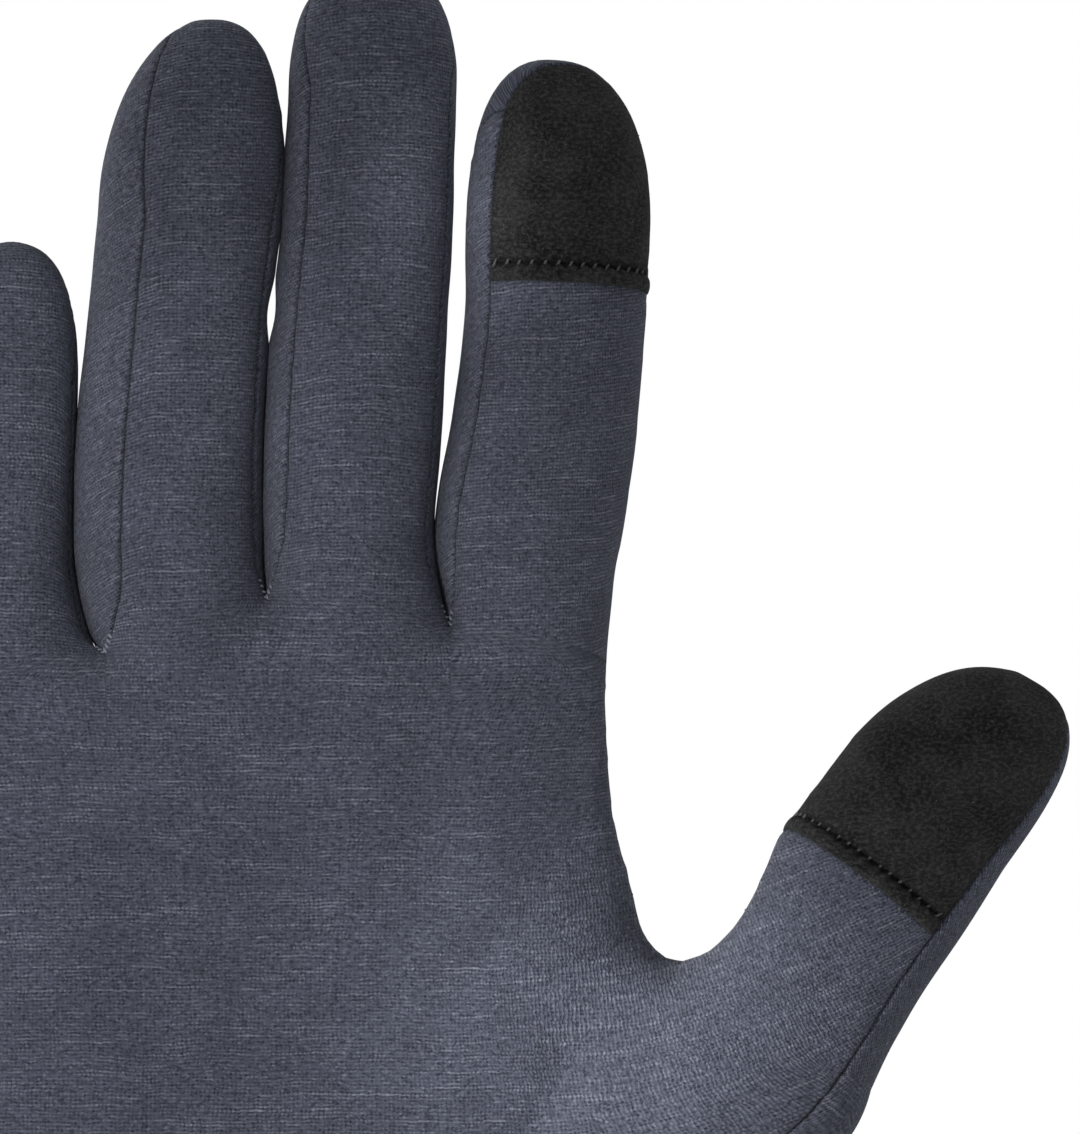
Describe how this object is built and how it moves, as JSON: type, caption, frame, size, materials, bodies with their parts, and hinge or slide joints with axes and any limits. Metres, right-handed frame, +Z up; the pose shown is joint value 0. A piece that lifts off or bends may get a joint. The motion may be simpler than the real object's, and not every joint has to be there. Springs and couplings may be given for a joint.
{
  "type": "knit wool touchscreen glove",
  "caption": "Right-hand glove of fine wool jersey in its worn shape, sewn from palm, back and finger side panels, with black touch-screen tips on thumb and index finger and a folded cuff band.",
  "frame": {"origin": "middle of the wrist opening, in the plane of the cuff's lower edge", "axes": "+Z up the hand from wrist to fingertips, -Y out of the palm, +X towards the thumb"},
  "size_m": [0.1515, 0.044, 0.2463],
  "materials": {
    "jersey": "fine heathered wool jersey, dark slate blue grey, matte",
    "side_jersey": "the same wool jersey cut on the bias, matte",
    "touch_tip": "short-napped black conductive jersey, matte",
    "cuff_band": "wool jersey folded double, matte"
  },
  "bodies": {
    "root": {"palm_panel": "jersey", "back_panel": "jersey", "side_strip_little_ring": "side_jersey", "side_strip_ring_middle": "side_jersey", "side_strip_middle_index": "side_jersey", "index_touch_tip": "touch_tip", "thumb_touch_tip": "touch_tip", "cuff_band": "cuff_band"}
  },
  "joints": []
}
